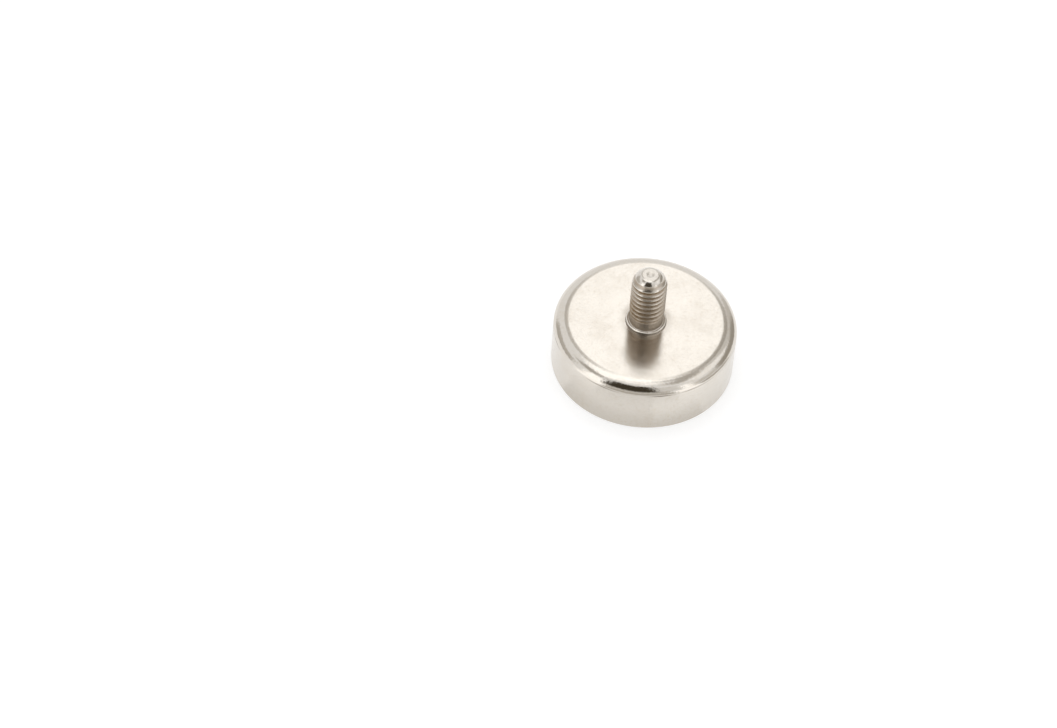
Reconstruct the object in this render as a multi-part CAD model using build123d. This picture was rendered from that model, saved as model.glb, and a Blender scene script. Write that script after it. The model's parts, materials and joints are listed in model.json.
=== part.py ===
from build123d import *
import os

# Pot magnet with an external M5 stud.
#
# A turned, nickel-plated steel pot holds a disc magnet, set in a ring of resin.
# A headed stud passes through the pot's floor from inside and is riveted over
# on the back face, so that the stud, the pot and the magnet can't come apart.
#
# Frame, in millimetres: the holding face (the pot's rim) lies on Z = 0 and
# faces down, the stud points up along +Z, and Z is the axis of every piece.
# Each piece is a half profile, drawn as radius across and height up, and
# revolved about Z.

# ---- Steel pot ----
pot_diameter = 25.0
pot_height = 8.0  # holding face to back face
wall_thickness = 1.7
floor_thickness = 2.9  # between the magnet and the back face
shoulder_radius = 1.7  # round from the back face into the wall
rim_outer_radius = 0.25
rim_inner_radius = 0.3
floor_corner_radius = 0.4  # left by the boring tool, inside

# ---- Disc magnet ----
resin_gap = 1.55  # radial, magnet to wall
magnet_recess = 0.1  # magnet face behind the rim
magnet_edge_radius = 0.5

# ---- Resin ring ----
resin_recess = 1.1  # resin's edges behind the rim
meniscus_depth = 0.12  # how far the resin's middle sags below its edges

# ---- Stud, M5 x 0.8 ----
thread_diameter = 4.83  # over the crests, at the small end of the tolerance
stud_projection = 9.0  # back face to tip
neck_length = 1.6  # back face to thread
neck_step = 0.175  # radial, neck below the crests; as much again is the thread's lead-in
dome_length = 2.0  # rounded lead-in
tip_diameter = 2.5  # flat left at the tip
tip_edge_radius = 0.15
dimple_diameter = 1.1  # shallow mark left by heading the tip
dimple_depth = 0.08

# ---- Where the stud is held in the pot ----
shank_step = 0.085  # radial, shank beyond the crests, so that the thread passes
shank_clearance = 0.03  # radial, shank and lip in the pot's hole
head_overhang = 1.8  # radial, head beyond the shank
head_thickness = 1.2
head_edge_radius = 0.3
head_clearance = 0.15  # radial, head in its counterbore
head_sink = 0.05  # head below the pot's floor, so that the magnet sits flat
lip_overhang = 0.26  # radial, riveted lip beyond the shank
lip_sink = 0.3  # depth of the countersink that the lip is riveted into
lip_height = 0.36  # proud of the back face
lip_width = 0.25  # radial, of the ridge that riveting leaves round the neck
lip_edge_radius = 0.11  # on both edges of the ridge
lip_hollow = 0.2  # depth of the hollow between the ridge and the neck
hollow_radius = 0.2  # round from the hollow up into the neck

# ---- Radii and heights that follow ----
pot_radius = pot_diameter / 2
bore_radius = pot_radius - wall_thickness
magnet_radius = bore_radius - resin_gap
crest_radius = thread_diameter / 2
neck_radius = crest_radius - neck_step
shank_radius = crest_radius + shank_step
hole_radius = shank_radius + shank_clearance
head_radius = shank_radius + head_overhang
counterbore_radius = head_radius + head_clearance
lip_radius = shank_radius + lip_overhang
countersink_radius = lip_radius + shank_clearance

floor_height = pot_height - floor_thickness
head_height = floor_height + head_sink
shelf_height = head_height + head_thickness
lip_top = pot_height + lip_height
hollow_height = lip_top - lip_hollow
thread_start = pot_height + neck_length
tip_height = pot_height + stud_projection
thread_end = tip_height - dome_length


def outline(*corners):
    """A closed profile with straight sides through its corners."""
    return make_face(Polyline(*corners, close=True))


def rounded(profile, corner, radius):
    """Round the one corner of a profile that lies nearest a point."""
    nearest = profile.vertices().sort_by_distance((*corner, 0))[0]
    return fillet(nearest, radius)


def turned(profile):
    """Revolve a half profile (radius, height) about the Z axis."""
    return revolve(Plane.XZ * profile, Axis.Z, 360)


def pot_profile():
    """The cup's wall and floor, bored for the stud's head, shank and lip."""
    profile = outline(
        (bore_radius, 0),
        (pot_radius, 0),
        (pot_radius, pot_height),
        (countersink_radius, pot_height),
        (hole_radius, pot_height - lip_sink),
        (hole_radius, shelf_height),
        (counterbore_radius, shelf_height),
        (counterbore_radius, floor_height),
        (bore_radius, floor_height),
    )
    profile = rounded(profile, (bore_radius, 0), rim_inner_radius)
    profile = rounded(profile, (pot_radius, 0), rim_outer_radius)
    profile = rounded(profile, (pot_radius, pot_height), shoulder_radius)
    return rounded(profile, (bore_radius, floor_height), floor_corner_radius)


def magnet_profile():
    """A plated disc with rounded edges, seated on the pot's floor."""
    profile = outline(
        (0, magnet_recess),
        (magnet_radius, magnet_recess),
        (magnet_radius, floor_height),
        (0, floor_height),
    )
    profile = rounded(profile, (magnet_radius, magnet_recess), magnet_edge_radius)
    return rounded(profile, (magnet_radius, floor_height), magnet_edge_radius)


def resin_profile():
    """The space left round the magnet, up to the resin's sagging surface."""
    inner = magnet_radius - magnet_edge_radius
    surface = ThreePointArc(
        (magnet_radius, resin_recess),
        (magnet_radius + resin_gap / 2, resin_recess + meniscus_depth),
        (bore_radius, resin_recess),
    )
    sides = Polyline(
        surface @ 1,
        (bore_radius, floor_height),
        (inner, floor_height),
        (inner, resin_recess),
        surface @ 0,
    )
    return make_face(surface + sides) - magnet_profile() - pot_profile()


def stud_profile():
    """Head, shank, riveted lip, neck, thread's crests and domed tip."""
    ridge_radius = lip_radius - lip_width
    dome = TangentArc(
        (crest_radius, thread_end),
        (tip_diameter / 2, tip_height),
        tangent=(0, 1),
    )
    dimple = TangentArc(
        (0, tip_height - dimple_depth),
        (dimple_diameter / 2, tip_height),
        tangent=(1, 0),
    )
    foot = Polyline(
        dimple @ 0,
        (0, head_height),
        (head_radius, head_height),
        (head_radius, shelf_height),
        (shank_radius, shelf_height),
        (shank_radius, pot_height - lip_sink),
        (lip_radius, pot_height),
        (lip_radius, lip_top),
        (ridge_radius, lip_top),
        (ridge_radius, hollow_height),
        (neck_radius, hollow_height),
        (neck_radius, thread_start),
        (crest_radius, thread_start + neck_step),
        dome @ 0,
    )
    tip_flat = Line(dome @ 1, dimple @ 1)
    profile = make_face(foot + dome + tip_flat + dimple)
    profile = rounded(profile, (head_radius, head_height), head_edge_radius)
    profile = rounded(profile, (lip_radius, lip_top), lip_edge_radius)
    profile = rounded(profile, (ridge_radius, lip_top), lip_edge_radius)
    profile = rounded(profile, (neck_radius, hollow_height), hollow_radius)
    return rounded(profile, dome @ 1, tip_edge_radius)


pieces = {
    "pot": turned(pot_profile()),
    "magnet": turned(magnet_profile()),
    "resin_ring": turned(resin_profile()),
    "stud": turned(stud_profile()),
}

os.makedirs("parts", exist_ok=True)
for name, solid in pieces.items():
    export_step(solid, f"parts/{name}.step")
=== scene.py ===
"""A pot magnet with an M5 stud, standing on its holding face, in soft studio light."""

import json
import math

import bpy
from mathutils import Matrix, Vector, noise


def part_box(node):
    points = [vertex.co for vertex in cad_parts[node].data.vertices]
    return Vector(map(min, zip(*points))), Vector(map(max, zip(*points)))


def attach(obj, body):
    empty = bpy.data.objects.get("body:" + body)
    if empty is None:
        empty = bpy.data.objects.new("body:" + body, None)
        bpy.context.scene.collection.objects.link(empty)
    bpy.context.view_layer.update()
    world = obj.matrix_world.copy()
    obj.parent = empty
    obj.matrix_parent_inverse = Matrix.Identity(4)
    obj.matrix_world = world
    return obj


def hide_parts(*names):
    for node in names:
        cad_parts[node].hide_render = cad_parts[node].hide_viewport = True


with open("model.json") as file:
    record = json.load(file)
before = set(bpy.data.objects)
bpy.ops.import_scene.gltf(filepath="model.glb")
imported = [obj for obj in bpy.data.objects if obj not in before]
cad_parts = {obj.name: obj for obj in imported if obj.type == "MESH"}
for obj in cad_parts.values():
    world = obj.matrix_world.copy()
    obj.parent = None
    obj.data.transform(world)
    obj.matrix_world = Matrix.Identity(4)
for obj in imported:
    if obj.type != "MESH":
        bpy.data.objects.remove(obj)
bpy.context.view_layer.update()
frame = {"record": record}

MM = 0.001  # metres in a millimetre; sizes are in millimetres, except where a comment says metres
TURN = 2 * math.pi
BODY = "root"


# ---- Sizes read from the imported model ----


def node_sizes(node):
    """A turned node's outer radius, lowest height and highest height."""
    low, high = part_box(node)
    return high.x / MM, low.z / MM, high.z / MM


pot_radius, rim_height, back_height = node_sizes("pot")
magnet_radius, magnet_face, floor_height = node_sizes("magnet")
bore_radius, resin_edge, _ = node_sizes("resin_ring")
head_radius, head_height, tip_height = node_sizes("stud")
stud_mount = next(m for m in frame["record"]["mounts"] if m["name"] == "stud")
crest_radius = stud_mount["dims"]["r_mm"]
thread_middle = stud_mount["pos_m"][2] / MM
thread_end = thread_middle + stud_mount["dims"]["length_mm"] / 2

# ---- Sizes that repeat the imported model's ----

rim_outer_radius = 0.25
rim_inner_radius = 0.3
floor_corner_radius = 0.4
magnet_edge_radius = 0.5
meniscus_depth = 0.12
shank_radius = 2.5
hole_radius = 2.53
shelf_height = 6.35
counterbore_radius = 4.45
head_edge_radius = 0.3
lip_radius = 2.76
lip_sink = 0.3
lip_height = 0.36
lip_hollow = 0.2
countersink_radius = 2.79
neck_radius = 2.24
tip_radius = 1.25
tip_edge_radius = 0.15
dimple_radius = 0.55

# ---- Sizes of the detail added here ----

shoulder_reach = 2.05  # the shoulder is a little oval: this far across
shoulder_drop = 1.5  # and this far down
seam_height = back_height - shoulder_drop  # where the shoulder meets the wall, in a fine line
seam_depth = 0.03
seam_width = 0.07
seam_rows = (3, 2, 1.4, 0.7, 0)  # how many widths below the line the mesh has its last rows
lip_shade_radius = 4.0  # of the faint painted shade round the riveted lip
lip_shade_strength = 0.42
still_radius = 3.29  # the back face is flat inside this, where the lip sits on it
countersink_edge_radius = 0.04

pot_wave = 0.006  # how far the plated surfaces wander from true
magnet_wave = 0.003
resin_lump = 0.03
tip_wave = 0.008

dimple_depth = 0.05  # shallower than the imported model's
tip_zone = 0.2  # height of the tip's flat and its rounded edge
ridge_width = 0.19  # radial, the top of the riveted lip, which slopes outwards
ridge_drop = 0.08
ridge_edge_radius = 0.05
lip_foot_radius = 0.03
head_top_radius = 0.05
hollow_radius = 0.18

thread_pitch = 0.8
thread_root = 2.0  # radius at the bottom of the groove
thread_lift = 0.1  # height that sets where the groove comes round to the front
crest_flat = 0.08
root_flat = 0.06
run_out_start = 9.1  # the thread rises out of the neck from here
run_out_end = 10.6  # and is full from here
fade_start = 15.1  # the groove fades over the dome from here
fade_end = 16.9  # and is gone here

# How much painted shade browns each stretch of the stud, from 0 to 1
hidden_shade = 0.3
lip_side_shade = 0.6
hollow_shade = 0.2
thread_shade = 0.5
left_shade = 0.3  # as much more painted shade on the left
paling_start = 11.0  # height from which the painted shade on the thread pales towards the tip

# Mesh
circle_steps = 224
resin_steps = 320
stud_steps = 128
coarse = 0.6  # spacing of points along plain stretches
middling = 0.3  # where a material changes over the stretch
fine = 0.06  # along rounded edges
shoulder_steps = 72
thread_spacing = 0.04


# ---- Profiles: lists of (radius, height) points ----


def straight(start, end, spacing):
    """Points from start to just before end."""
    steps = max(1, math.ceil(math.dist(start, end) / spacing))
    return [
        (start[0] + (end[0] - start[0]) * i / steps, start[1] + (end[1] - start[1]) * i / steps)
        for i in range(steps)
    ]


def arc_from(start, direction, end, spacing):
    """Points from start to just before end, on the arc that leaves start in a direction."""
    leaving = Vector(direction).normalized()
    chord = Vector(end) - Vector(start)
    half_turn = leaving.angle_signed(chord)
    if abs(half_turn) < 1e-6:
        return straight(start, end, spacing)
    length = chord.length * half_turn / math.sin(half_turn)
    steps = max(4, math.ceil(length / spacing))
    points = []
    for i in range(steps):
        part = i / steps
        reach = chord.length * math.sin(half_turn * part) / math.sin(half_turn)
        heading = leaving.copy()
        heading.rotate(Matrix.Rotation(-half_turn * part, 2))
        points.append(tuple(Vector(start) + heading * reach))
    return points


def rounded_path(corners, spacing=coarse):
    """A path through corners of (radius, height, rounding), with straight runs between them.

    The first and last corners have no rounding.
    """
    path = []
    for i, (radius, height, rounding) in enumerate(corners):
        here = Vector((radius, height))
        if not rounding:
            arrive = leave = here
        else:
            before = (Vector(corners[i - 1][:2]) - here).normalized()
            after = (Vector(corners[i + 1][:2]) - here).normalized()
            reach = rounding / math.tan(before.angle(after) / 2)
            arrive = here + before * reach
            leave = here + after * reach
        path.append((arrive, leave, here))
    points = []
    for i, (arrive, leave, here) in enumerate(path):
        if (arrive - leave).length > 1e-9:
            points += arc_from(tuple(arrive), here - arrive, tuple(leave), fine)
        if i < len(path) - 1:
            points += straight(tuple(leave), tuple(path[i + 1][0]), spacing)
    points.append(tuple(path[-1][0]))
    return points


# ---- Turned pieces ----


def ring_points(radius, height, shape, steps):
    """One ring of a turned piece; shape(radius, height, angle) gives its new radius and height."""
    for step in range(steps):
        angle = TURN * step / steps
        new_radius, new_height = shape(radius, height, angle)
        yield Vector((new_radius * math.cos(angle), new_radius * math.sin(angle), new_height)) * MM


def turned(name, profile, shape, closed, steps=circle_steps):
    """A mesh object turned about Z from a profile, which is closed or has both its ends on the axis."""
    vertices = []
    faces = []
    rows = profile if closed else profile[1:-1]
    for radius, height in rows:
        vertices += ring_points(radius, height, shape, steps)
    joins = len(rows) if closed else len(rows) - 1
    for row in range(joins):
        this_row = row * steps
        next_row = (row + 1) % len(rows) * steps
        for step in range(steps):
            beside = (step + 1) % steps
            faces.append((this_row + step, this_row + beside, next_row + beside, next_row + step))
    if not closed:
        for end, row in ((profile[0], 0), (profile[-1], len(rows) - 1)):
            pole = len(vertices)
            vertices.append(Vector((0, 0, shape(0, end[1], 0)[1])) * MM)
            ring = row * steps
            for step in range(steps):
                pair = (ring + step, ring + (step + 1) % steps)
                faces.append((pole, *pair) if row else (pole, *reversed(pair)))
    mesh = bpy.data.meshes.new(name)
    mesh.from_pydata(vertices, [], faces)
    mesh.validate()
    mesh.shade_smooth()
    piece = bpy.data.objects.new(name, mesh)
    bpy.context.scene.collection.objects.link(piece)
    return piece


def face_outwards(piece):
    """Turn a closed piece's faces outwards if its volume comes out negative."""
    mesh = piece.data
    volume = 0.0
    mesh.calc_loop_triangles()
    for triangle in mesh.loop_triangles:
        a, b, c = (mesh.vertices[v].co for v in triangle.vertices)
        volume += a.dot(b.cross(c))
    if volume < 0:
        mesh.flip_normals()


def mark(piece, name, value):
    """Store value(radius, height, angle, normal) of each vertex as an attribute that materials read."""
    mesh = piece.data
    values = mesh.attributes.new(name, "FLOAT", "POINT")
    for vertex in mesh.vertices:
        x, y, z = vertex.co / MM
        values.data[vertex.index].value = value(math.hypot(x, y), z, math.atan2(y, x), vertex.normal)


def smooth_step(value, low, high):
    """0 below low, 1 above high and a soft rise between them."""
    part = min(1, max(0, (value - low) / (high - low)))
    return part * part * (3 - 2 * part)


def unevenness(radius, height, angle, wavelength, seed):
    """A soft random height from -1 to 1, which changes over about a wavelength on the surface."""
    place = Vector((radius * math.cos(angle), radius * math.sin(angle), height)) / wavelength
    return noise.noise(place + Vector((seed, seed * 0.7, -seed * 1.3)))


def add(piece, node, material):
    """Put a finished piece on the body in place of its CAD node."""
    face_outwards(piece)
    piece.data.materials.append(material)
    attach(piece, BODY)
    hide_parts(node)


# ---- Steel pot ----


def shoulder():
    """Points of the oval round from the wall up to just before the back face."""
    points = []
    for step in range(shoulder_steps):
        turn = TURN / 4 * step / shoulder_steps
        radius = pot_radius - shoulder_reach * (1 - math.cos(turn))
        height = back_height - shoulder_drop * (1 - math.sin(turn))
        points.append((radius, height))
    return points


def pot_profile():
    """The cup's closed section, from the wall up over the shoulder and round through the inside."""
    rest = rounded_path(
        [
            (pot_radius - shoulder_reach, back_height, 0),
            (countersink_radius, back_height, countersink_edge_radius),
            (hole_radius, back_height - lip_sink, 0),
            (hole_radius, shelf_height, 0),
            (counterbore_radius, shelf_height, 0),
            (counterbore_radius, floor_height, 0),
            (bore_radius, floor_height, floor_corner_radius),
            (bore_radius, rim_height, rim_inner_radius),
            (pot_radius, rim_height, rim_outer_radius),
            *((pot_radius, seam_height - seam_width * widths, 0) for widths in seam_rows),
        ],
        spacing=middling,
    )
    return shoulder() + rest[:-1]


def seam_closeness(radius, height):
    """1 on the line where the shoulder meets the wall, fading to 0 beside it."""
    if radius < pot_radius - shoulder_reach:
        return 0
    return math.exp(-(((height - seam_height) / seam_width) ** 2))


def patchiness(radius, height, angle):
    """From 0 to 1 in broad patches, for what isn't the same all the way round."""
    return smooth_step(unevenness(radius, height, angle, wavelength=3.5, seed=31), -0.4, 0.2)


def pot_shape(radius, height, angle):
    """The plated surface is very slightly wavy, with a broken fine line below the shoulder."""
    if radius < still_radius or height <= rim_height:
        return radius, height
    wave = abs(pot_wave * unevenness(radius, height, angle, wavelength=2.6, seed=3))
    seam = seam_depth * patchiness(radius, height, angle) * seam_closeness(radius, height)
    return radius - wave - seam, height - wave * smooth_step(height, seam_height - 0.5, back_height)


def pot():
    piece = turned("steel_pot", pot_profile(), pot_shape, closed=True)
    mark(piece, "polish", edge_polish)
    # painted shade in the fine line and round the lip, which the material reads
    mark(piece, "painted_shade", pot_painted_shading)
    return piece


def pot_painted_shading(radius, height, angle, normal):
    """Painted shade: 1 where the fine line below the shoulder is deepest, and a faint painted shade round
    the riveted lip.
    """
    patchy = patchiness(radius, height, angle)
    on_back_face = height > back_height - 0.1
    if on_back_face and radius < lip_shade_radius:
        lip_shading = 1 - smooth_step(radius, countersink_radius, lip_shade_radius)
        return lip_shade_strength * lip_shading * (0.5 + 0.5 * patchy)
    return patchy * seam_closeness(radius, height)


def edge_polish(radius, height, angle, normal):
    """1 on rounded edges, which rub brighter in the plating barrel, and 0 on flat faces and walls."""
    slope = abs(normal.z)
    return smooth_step(slope, 0.04, 0.25) * (1 - smooth_step(slope, 0.97, 0.999))


# ---- Disc magnet ----


def magnet_profile():
    """A disc with rounded edges, from the middle of its face to the middle of its hidden side."""
    return rounded_path(
        [
            (0, magnet_face, 0),
            (magnet_radius, magnet_face, magnet_edge_radius),
            (magnet_radius, floor_height, magnet_edge_radius),
            (0, floor_height, 0),
        ]
    )


def magnet_shape(radius, height, angle):
    """The face that shows is very slightly wavy."""
    wave = magnet_wave * unevenness(radius, height, angle, wavelength=3.0, seed=9)
    return radius, height + (wave if height < magnet_face + 0.4 else 0)


def magnet():
    piece = turned("disc_magnet", magnet_profile(), magnet_shape, closed=False)
    mark(piece, "polish", edge_polish)
    return piece


# ---- Resin ring ----


def resin_profile():
    """The ring's section, its exposed surface first, which sags between the magnet and the wall."""
    middle = (magnet_radius + bore_radius) / 2
    inner = magnet_radius - magnet_edge_radius
    half_width = (bore_radius - magnet_radius) / 2
    slope = 2 * math.atan(meniscus_depth / half_width)
    surface = arc_from(
        (magnet_radius, resin_edge),
        (math.cos(slope), math.sin(slope)),
        (middle, resin_edge + meniscus_depth),
        fine,
    )
    surface += arc_from((middle, resin_edge + meniscus_depth), (1, 0), (bore_radius, resin_edge), fine)
    rest = rounded_path(
        [
            (bore_radius, resin_edge, 0),
            (bore_radius, floor_height, floor_corner_radius),
            (inner, floor_height, 0),
        ]
    )
    hollow_end = (magnet_radius, floor_height - magnet_edge_radius)
    hollow = arc_from((inner, floor_height), (1, 0), hollow_end, fine)
    wall = straight(hollow_end, (magnet_radius, resin_edge), coarse)
    return surface + rest + hollow[1:] + wall


def resin_shape(radius, height, angle):
    """The poured surface is a little lumpy."""
    if height > resin_edge + meniscus_depth + 0.01:
        return radius, height
    lump = resin_lump * unevenness(radius, height, angle, wavelength=1.6, seed=21)
    return radius, height + abs(lump)


def resin():
    return turned("resin_fill", resin_profile(), resin_shape, closed=True, steps=resin_steps)


# ---- Threaded stud ----


def stud_profile():
    """From the middle of the tip down the outside to the middle of the head."""
    lip_top = back_height + lip_height
    tip_edge = (tip_radius, tip_height)
    dimple = arc_from((0, tip_height - dimple_depth), (1, 0), (dimple_radius, tip_height), fine)
    flat = straight((dimple_radius, tip_height), (tip_radius - tip_edge_radius, tip_height), fine)
    dome = list(reversed(arc_from((crest_radius, thread_end), (0, 1), tip_edge, thread_spacing)))
    thread = straight((crest_radius, thread_end), (crest_radius, run_out_start), thread_spacing)[1:]
    foot = rounded_path(
        [
            (neck_radius, run_out_start, 0),
            (neck_radius, lip_top - lip_hollow, hollow_radius),
            (lip_radius - ridge_width, lip_top - lip_hollow, hollow_radius),
            (lip_radius - ridge_width, lip_top, ridge_edge_radius / 2),
            (lip_radius, lip_top - ridge_drop, ridge_edge_radius),
            (lip_radius, back_height, lip_foot_radius),
            (shank_radius, back_height - lip_sink, 0),
            (shank_radius, shelf_height, 0),
            (head_radius, shelf_height, head_top_radius),
            (head_radius, head_height, head_edge_radius),
            (0, head_height, 0),
        ]
    )
    return dimple + flat + dome[1:] + thread + foot


def groove_depth(height, angle):
    """How deep the thread's rounded groove is below its crest; it fades away over the dome."""
    turns = (height - run_out_start - thread_lift) / thread_pitch - angle / TURN
    above_groove = (turns - round(turns)) * thread_pitch
    from_crest = thread_pitch / 2 - abs(above_groove)
    depth = smooth_step(from_crest, crest_flat / 2, (thread_pitch - root_flat) / 2)
    faded = smooth_step(height - above_groove, fade_start, fade_end)
    return depth * (crest_radius - thread_root) * (1 - faded)


def stud_shape(radius, height, angle):
    """Roll the thread into the outline, and leave the tip a little uneven, as heading does."""
    if height <= run_out_start:
        return radius, height
    if radius <= tip_radius and height > tip_height - tip_zone:
        wave = abs(tip_wave * unevenness(radius, height, angle, wavelength=0.5, seed=5))
        return radius, height - wave
    rise = smooth_step(height, run_out_start, run_out_end)
    thread = radius - groove_depth(height, angle)
    return neck_radius + (thread - neck_radius) * rise, height


def stud():
    piece = turned("threaded_stud", stud_profile(), stud_shape, closed=False, steps=stud_steps)
    mark(piece, "groove", stud_groove)
    # painted shade along the stud, which the material reads
    mark(piece, "painted_stud_shade", shade_on_stud)
    mark(piece, "dullness", stud_dullness)
    return piece


def shade_on_stud(radius, height, angle, normal):
    """How much painted shade browns the plating: none at the tip, more towards the thread's foot and on
    the left.
    """
    if height <= back_height:
        return hidden_shade
    if on_lip_side(radius, height):
        return lip_side_shade
    in_hollow = height < back_height + lip_height + 0.01 and radius > neck_radius + 0.05
    if in_hollow:
        ridge_radius = lip_radius - ridge_width
        return hollow_shade * (1 - smooth_step(radius, ridge_radius - 0.06, ridge_radius))
    leftness = 0.5 - 0.5 * math.cos(angle)
    paling = smooth_step(height, paling_start, fade_end)
    return (thread_shade + left_shade * leftness) * (1 - paling)


def on_lip_side(radius, height):
    """Whether a point is on the side of the riveted lip, below its bright ridge."""
    ridge_foot = back_height + lip_height - ridge_drop - ridge_edge_radius
    return radius > lip_radius - 0.02 and height < ridge_foot


def stud_dullness(radius, height, angle, normal):
    """1 where the plating is matt: on the flat of the tip, the neck and the lip's side."""
    if on_lip_side(radius, height):
        return 1
    from_tip = math.hypot(radius / tip_radius, (tip_height - height) / tip_zone)
    tip = 1 - smooth_step(from_tip, 0.8, 1.1)
    neck = 1 - smooth_step(height, run_out_start, run_out_end)
    return max(tip, neck if radius < crest_radius else 0)


def stud_groove(radius, height, angle, normal):
    """1 in the bottom of the thread's groove, 0 on its crest and on the plain stretches."""
    if not run_out_start < height < tip_height - tip_zone:
        return 0
    rise = smooth_step(height, run_out_start, run_out_end)
    return rise * groove_depth(height, angle) / (crest_radius - thread_root)


# ---- Materials ----

nickel_colour = (0.67, 0.63, 0.575)
worn_nickel_colour = (0.61, 0.545, 0.46)
# the brown of the painted shade on the stud
painted_shading_colour = (0.16, 0.12, 0.08)
# the dark brown of the painted shade on the pot
stud_shade_brown = (0.25, 0.152, 0.055)
resin_colour = (0.30, 0.262, 0.205)
resin_dark_colour = (0.215, 0.185, 0.143)
floor_colour = (0.55, 0.55, 0.55)
floor_glow = 0.56
white = (1, 1, 1)


def opaque(colour):
    return (*colour, 1)


def make_node(tree, kind, **settings):
    """A shader node with its properties set."""
    made = tree.nodes.new(kind)
    for name, value in settings.items():
        setattr(made, name, value)
    return made


def noise_value(tree, size, detail=2, roughness=0.5):
    """A random value from about 0 to 1, with features of a size in millimetres."""
    place = make_node(tree, "ShaderNodeTexCoord")
    scaled = make_node(tree, "ShaderNodeMapping")
    scaled.inputs["Scale"].default_value = [1 / (size * MM)] * 3
    texture = make_node(tree, "ShaderNodeTexNoise")
    texture.inputs["Scale"].default_value = 1
    texture.inputs["Detail"].default_value = detail
    texture.inputs["Roughness"].default_value = roughness
    tree.links.new(place.outputs["Object"], scaled.inputs["Vector"])
    tree.links.new(scaled.outputs["Vector"], texture.inputs["Vector"])
    return texture.outputs["Fac"]


def attribute_value(tree, name):
    return make_node(tree, "ShaderNodeAttribute", attribute_name=name).outputs["Fac"]


def remapped(tree, value, from_range, to_range):
    """value moved from one range to another, and kept inside it."""
    made = make_node(tree, "ShaderNodeMapRange")
    tree.links.new(value, made.inputs["Value"])
    for name, number in zip(("From Min", "From Max", "To Min", "To Max"), (*from_range, *to_range)):
        made.inputs[name].default_value = number
    return made.outputs["Result"]


def calculated(tree, operation, first, second):
    """Two values put together; each is a socket or a number."""
    made = make_node(tree, "ShaderNodeMath", operation=operation)
    for socket, value in zip(made.inputs, (first, second)):
        if isinstance(value, bpy.types.NodeSocket):
            tree.links.new(value, socket)
        else:
            socket.default_value = value
    return made.outputs["Value"]


def blended(tree, amount, first, second):
    """A colour between two colours; each is a socket or a plain colour."""
    made = make_node(tree, "ShaderNodeMix", data_type="RGBA")
    tree.links.new(amount, made.inputs["Factor"])
    for name, colour in (("A", first), ("B", second)):
        socket = next(s for s in made.inputs if s.name == name and s.type == "RGBA")
        if isinstance(colour, bpy.types.NodeSocket):
            tree.links.new(colour, socket)
        else:
            socket.default_value = opaque(colour)
    return next(s for s in made.outputs if s.type == "RGBA")


def bumped(tree, height, depth, below=None):
    """A normal bent by a height from 0 to 1 that stands for a depth in millimetres."""
    made = make_node(tree, "ShaderNodeBump")
    made.inputs["Distance"].default_value = depth * MM
    tree.links.new(height, made.inputs["Height"])
    if below is not None:
        tree.links.new(below, made.inputs["Normal"])
    return made.outputs["Normal"]


def new_material(name):
    """A material with a plain shader; returns it, its node tree and the shader."""
    made = bpy.data.materials.new(name)
    made.use_nodes = True
    return made, made.node_tree, made.node_tree.nodes["Principled BSDF"]


def nickel_material(name, satin, polished, grain):
    """Bright nickel plating with faint clouds, specks and a grain whose depth is in millimetres.

    satin is the roughness of the flat faces, and polished that of the rounded edges.
    """
    made, tree, shader = new_material(name)
    clouds = noise_value(tree, 3.2, detail=4, roughness=0.6)
    speckle = noise_value(tree, 0.16, detail=2, roughness=0.7)
    tone = blended(tree, remapped(tree, clouds, (0.5, 0.8), (0, 0.4)), nickel_colour, worn_nickel_colour)
    specks = remapped(tree, noise_value(tree, 0.4, detail=4, roughness=0.75), (0.5, 0.75), (0, 0.7))
    tone = blended(tree, specks, tone, worn_nickel_colour)
    # painted shade: darker in the fine line below the shoulder and round the riveted lip
    tone = blended(tree, attribute_value(tree, "painted_shade"), tone, painted_shading_colour)
    tree.links.new(tone, shader.inputs["Base Color"])
    shader.inputs["Metallic"].default_value = 1
    polish = attribute_value(tree, "polish")
    plain = remapped(tree, polish, (0, 1), (satin, polished))
    varied = calculated(tree, "ADD", plain, remapped(tree, clouds, (0.3, 0.7), (-0.02, 0.03)))
    varied = calculated(tree, "ADD", varied, remapped(tree, speckle, (0.3, 0.7), (-0.03, 0.03)))
    tree.links.new(varied, shader.inputs["Roughness"])
    waves = noise_value(tree, 0.9, detail=1)
    normal = bumped(tree, waves, 0.006)
    ripple = calculated(tree, "MULTIPLY", noise_value(tree, 0.35, detail=3, roughness=0.65), polish)
    normal = bumped(tree, ripple, 0.018, normal)
    normal = bumped(tree, speckle, grain, normal)
    tree.links.new(normal, shader.inputs["Normal"])
    return made


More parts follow.
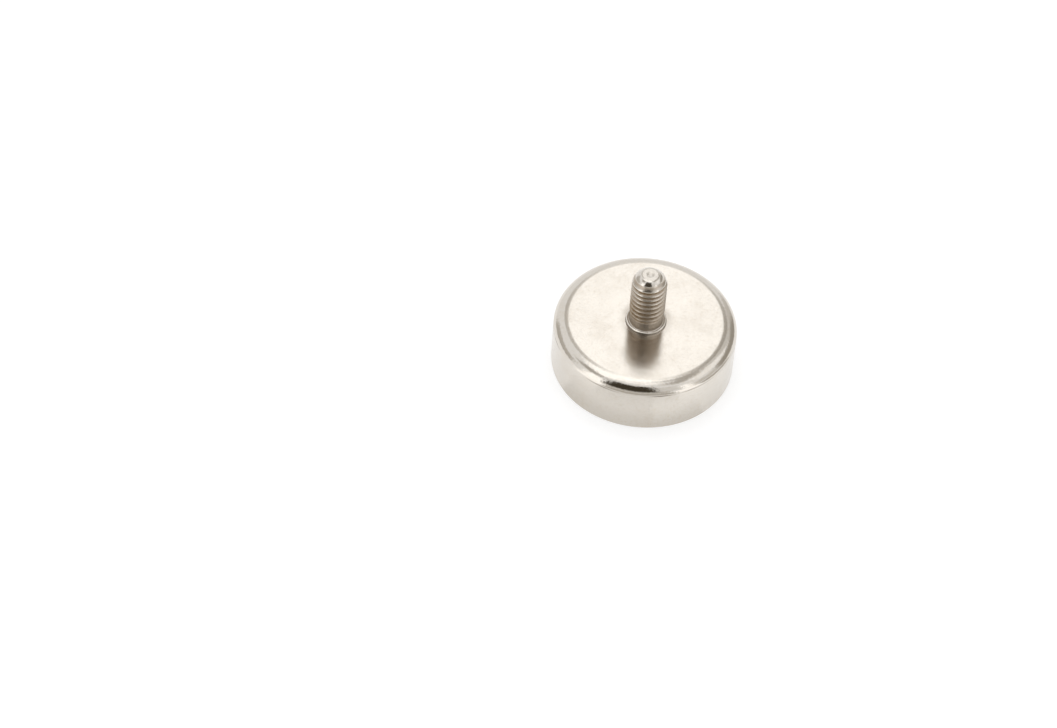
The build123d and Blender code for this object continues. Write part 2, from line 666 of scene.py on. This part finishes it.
def stud_material():
    """Nickel plating with painted shade that browns it towards the stud's foot and in the thread's groove,
    dull in the groove, and mottled.
    """
    made, tree, shader = new_material("stud_nickel")
    groove = attribute_value(tree, "groove")
    streaks = noise_value(tree, 0.35, detail=3, roughness=0.6)
    wide_groove = calculated(tree, "POWER", groove, 0.7)
    # painted shade in the thread's groove, broken up by streaks
    groove_shade = calculated(tree, "MULTIPLY", wide_groove, remapped(tree, streaks, (0.25, 0.6), (0.62, 1)))
    mottle = remapped(tree, noise_value(tree, 0.4, detail=4, roughness=0.7), (0.35, 0.7), (-0.12, 0.16))
    # the painted shade of each stretch, with a random mottle added
    brown = calculated(tree, "ADD", attribute_value(tree, "painted_stud_shade"), mottle)
    brown = calculated(tree, "MULTIPLY", brown, remapped(tree, groove, (0, 0.3), (0.55, 1)))
    amount = calculated(tree, "MAXIMUM", groove_shade, brown)
    tree.links.new(blended(tree, amount, nickel_colour, stud_shade_brown), shader.inputs["Base Color"])
    shader.inputs["Metallic"].default_value = 1
    plain = remapped(tree, amount, (0, 1), (0.14, 0.7))
    dull = calculated(tree, "MULTIPLY", attribute_value(tree, "dullness"), 0.14)
    tree.links.new(calculated(tree, "ADD", plain, dull), shader.inputs["Roughness"])
    waves = noise_value(tree, 0.3, detail=3)
    tree.links.new(bumped(tree, waves, 0.008), shader.inputs["Normal"])
    return made


def resin_material():
    """Matt grey-brown casting resin with a fine filler in it."""
    made, tree, shader = new_material("casting_resin")
    patches = noise_value(tree, 1.5, detail=5, roughness=0.65)
    filler = noise_value(tree, 0.12, detail=2)
    tree.links.new(
        blended(tree, remapped(tree, patches, (0.35, 0.7), (0, 1)), resin_colour, resin_dark_colour),
        shader.inputs["Base Color"],
    )
    tree.links.new(remapped(tree, filler, (0.3, 0.7), (0.5, 0.68)), shader.inputs["Roughness"])
    tree.links.new(bumped(tree, filler, 0.006), shader.inputs["Normal"])
    return made


# ---- Studio ----

lamp_distance = 0.5  # metres
floor_size = 4.0  # metres
floor_drop = 0.00002  # metres below the rim, so that the two don't flicker
sheet_steps = 20
sheet_fade = 5  # degrees, or millimetres on the floor, in which a reflected sheet's edges fade
sheet_gap = 0.000004  # metres between sheets that lie over each other on the floor
world_light = 0.8  # what the world gives the object, against 1 where it is seen


def direction(azimuth, elevation):
    """A unit vector; azimuth 0 is in front of the object, at -Y, and 90 is at +X."""
    a, e = math.radians(azimuth), math.radians(elevation)
    return Vector((math.sin(a) * math.cos(e), -math.cos(a) * math.cos(e), math.sin(e)))


def facing_object(thing, azimuth, elevation):
    """Place a lamp on a sphere round the object, turned towards it."""
    away = direction(azimuth, elevation)
    thing.location = away * lamp_distance
    thing.rotation_mode = "QUATERNION"
    thing.rotation_quaternion = away.to_track_quat("Z", "Y")


def softbox(name, azimuth, elevation, width, height, radiance):
    """A rectangular lamp, its size in metres; room() has what the metal reflects in its place."""
    lamp = bpy.data.lights.new(name, "AREA")
    lamp.shape = "RECTANGLE"
    lamp.size = width
    lamp.size_y = height
    lamp.energy = radiance * math.pi * width * height
    thing = bpy.data.objects.new(name, lamp)
    bpy.context.scene.collection.objects.link(thing)
    thing.visible_glossy = False
    facing_object(thing, azimuth, elevation)


def warm(brightness):
    """A grey that turns browner as it darkens, as the things round a photographer's table are."""
    tint = min(brightness, 1)
    return brightness, brightness * tint**0.07, brightness * tint**0.2


def reflected_sheet(name, azimuths, levels, place, brightness):
    """A glowing sheet with soft edges, seen only in reflections.

    It spans a range of azimuths and a range of levels, and place(azimuth, level) gives its points.
    """
    points = []
    inside = []
    for row in range(sheet_steps + 1):
        level = levels[0] + (levels[1] - levels[0]) * row / sheet_steps
        for step in range(sheet_steps + 1):
            azimuth = azimuths[0] + (azimuths[1] - azimuths[0]) * step / sheet_steps
            points.append(place(azimuth, level))
            from_sides = min(azimuth - azimuths[0], azimuths[1] - azimuth)
            from_ends = min(level - levels[0], levels[1] - level)
            inside.append(smooth_step(min(from_sides, from_ends), 0, sheet_fade))
    faces = []
    for row in range(sheet_steps):
        for step in range(sheet_steps):
            corner = row * (sheet_steps + 1) + step
            faces.append((corner, corner + 1, corner + sheet_steps + 2, corner + sheet_steps + 1))
    mesh = bpy.data.meshes.new(name)
    mesh.from_pydata(points, [], faces)
    mesh.attributes.new("inside", "FLOAT", "POINT").data.foreach_set("value", inside)
    mesh.materials.append(glow_material(name, warm(brightness)))
    sheet = bpy.data.objects.new(name, mesh)
    bpy.context.scene.collection.objects.link(sheet)
    sheet.visible_camera = False
    sheet.visible_diffuse = False
    sheet.visible_shadow = False


def glow_material(name, colour):
    """A glow that fades to clear where the sheet's attribute "inside" goes to 0."""
    made, tree, shader = new_material(name)
    tree.nodes.remove(shader)
    glow = make_node(tree, "ShaderNodeEmission")
    glow.inputs["Color"].default_value = opaque(colour)
    clear = make_node(tree, "ShaderNodeBsdfTransparent")
    mixed = make_node(tree, "ShaderNodeMixShader")
    tree.links.new(attribute_value(tree, "inside"), mixed.inputs["Fac"])
    tree.links.new(clear.outputs["BSDF"], mixed.inputs[1])
    tree.links.new(glow.outputs["Emission"], mixed.inputs[2])
    tree.links.new(mixed.outputs["Shader"], tree.nodes["Material Output"].inputs["Surface"])
    return made


def floor():
    """A pale floor: partly lit, so that it holds a shadow, and partly glowing where it is seen."""
    half = floor_size / 2
    corners = [(-half, -half, -floor_drop), (half, -half, -floor_drop)]
    corners += [(half, half, -floor_drop), (-half, half, -floor_drop)]
    mesh = bpy.data.meshes.new("floor")
    mesh.from_pydata(corners, [], [(0, 1, 2, 3)])
    made, tree, shader = new_material("floor_paper")
    shader.inputs["Base Color"].default_value = opaque(floor_colour)
    shader.inputs["Roughness"].default_value = 1
    shader.inputs["Specular IOR Level"].default_value = 0
    shader.inputs["Emission Color"].default_value = opaque(white)
    path = make_node(tree, "ShaderNodeLightPath")
    seen = calculated(tree, "MAXIMUM", path.outputs["Is Camera Ray"], path.outputs["Is Glossy Ray"])
    seen = calculated(tree, "MAXIMUM", seen, path.outputs["Is Transmission Ray"])
    glow = calculated(tree, "MULTIPLY", seen, floor_glow)
    tree.links.new(glow, shader.inputs["Emission Strength"])
    mesh.materials.append(made)
    thing = bpy.data.objects.new("floor", mesh)
    bpy.context.scene.collection.objects.link(thing)


def surroundings():
    """A world that is white where it is seen or reflected, and a little darker as a light."""
    world = bpy.data.worlds.new("studio")
    bpy.context.scene.world = world
    world.use_nodes = True
    tree = world.node_tree
    background = tree.nodes["Background"]
    path = make_node(tree, "ShaderNodeLightPath")
    seen = calculated(tree, "ADD", path.outputs["Is Glossy Ray"], path.outputs["Is Camera Ray"])
    extra = calculated(tree, "MULTIPLY", seen, 1 - world_light)
    total = calculated(tree, "ADD", extra, world_light)
    tree.links.new(total, background.inputs["Strength"])
    background.inputs["Color"].default_value = opaque(white)


def studio_lights():
    """Four soft lamps: name, azimuth, elevation, width, height and radiance."""
    softbox("back_softbox", 180, 60, 0.4, 0.4, 0.65)
    softbox("top_softbox", -110, 76, 0.3, 0.3, 0.6)
    softbox("left_softbox", -50, 21, 0.2, 0.38, 0.65)
    softbox("right_softbox", 53, 21, 0.2, 0.38, 0.65)


def room():
    """What the bright metal reflects, farthest first: name, azimuths, elevations and brightness."""
    sheets = (
        ("overhead", (-190, 190), (77, 90), 1.45),
        ("overhead_left", (-173, -58), (61, 85), 1.6),
        ("back_panel", (162, 198), (39, 88), 1.7),
        ("left_panel", (-66, -36), (-6, 47), 1.6),
        ("right_panel", (46, 61), (-6, 43), 1.6),
        ("high_right", (68, 133), (34, 61), 1.2),
        ("near_right", (59, 99), (-6, 27), 0.76),
        ("side_right", (92, 147), (-6, 34), 0.43),
        ("side_left", (-128, -78), (-6, 32), 0.6),
        ("far_right_low", (141, 159), (-6, 34), 0.7),
        ("far_right", (125, 156), (28, 62), 0.75),
        ("gap_right", (149, 174), (35, 64), 0.46),
        ("gap_left", (-174, -151), (35, 63), 0.6),
        ("gap_top", (56, 156), (58, 77), 0.55),
        ("gap_top_left", (-96, -54), (43, 65), 0.5),
        ("front_right", (16, 50), (13, 55), 0.85),
        ("table_front", (-41, 35), (-6, 21), 0.63),
        ("camera_side", (-43, 23), (14, 68), 0.06),
    )
    for layer, (name, azimuths, elevations, brightness) in enumerate(sheets):
        distance = lamp_distance * (1 - 0.01 * layer)
        reflected_sheet(name, azimuths, elevations, lambda a, e: direction(a, e) * distance, brightness)
    # The same on the floor, between two distances from the axis in millimetres
    floor_sheets = (
        # a painted shadow of the pot on the floor, seen only in reflections
        ("floor_shadow_near", (-60, 50), (8, 17), 0.82),
        ("floor_glow", (10, 85), (12.8, 26), 1.15),
        ("floor_front", (-37, 37), (16, 205), 0.58),
        ("floor_left", (-65, -31), (16, 205), 1.5),
        ("floor_right", (33, 61), (16, 205), 1.5),
        ("floor_side", (57, 99), (23, 100), 0.58),
    )
    for layer, (name, azimuths, reach, brightness) in enumerate(floor_sheets):
        lift = Vector((0, 0, sheet_gap * layer - floor_drop / 2))
        reflected_sheet(name, azimuths, reach, lambda a, r: direction(a, 0) * r * MM + lift, brightness)


# ---- Camera ----

camera_lens = 119.2
camera_sensor = 36.0
camera_distance = 0.4807  # metres
camera_rise = 48.21  # degrees above the floor, from the origin
camera_yaw = -2.77  # degrees, towards +X
camera_pitch = 48.45  # degrees down
camera_roll = 3.85  # degrees


def camera():
    """The photograph's view: from in front and above, with the object right of the middle."""
    data = bpy.data.cameras.new("camera")
    data.lens = camera_lens
    data.sensor_width = camera_sensor
    data.clip_start = 0.01
    thing = bpy.data.objects.new("camera", data)
    bpy.context.scene.collection.objects.link(thing)
    yaw, pitch, roll = (math.radians(a) for a in (camera_yaw, camera_pitch, camera_roll))
    forward = Vector((math.sin(yaw) * math.cos(pitch), math.cos(yaw) * math.cos(pitch), -math.sin(pitch)))
    level = Vector((math.cos(yaw), -math.sin(yaw), 0))
    upright = level.cross(forward)
    right = level * math.cos(roll) + upright * math.sin(roll)
    up = upright * math.cos(roll) - level * math.sin(roll)
    turn = Matrix((right, up, -forward)).transposed()
    thing.matrix_world = Matrix.Translation(direction(0, camera_rise) * camera_distance) @ turn.to_4x4()
    bpy.context.scene.camera = thing


def main():
    camera()
    floor()
    surroundings()
    studio_lights()
    room()
    pot_nickel = nickel_material("pot_nickel", satin=0.2, polished=0.1, grain=0.003)
    magnet_nickel = nickel_material("magnet_nickel", satin=0.34, polished=0.12, grain=0.006)
    add(pot(), "pot", pot_nickel)
    add(magnet(), "magnet", magnet_nickel)
    add(resin(), "resin_ring", resin_material())
    add(stud(), "stud", stud_material())
    bpy.context.scene.view_settings.view_transform = "Standard"


main()
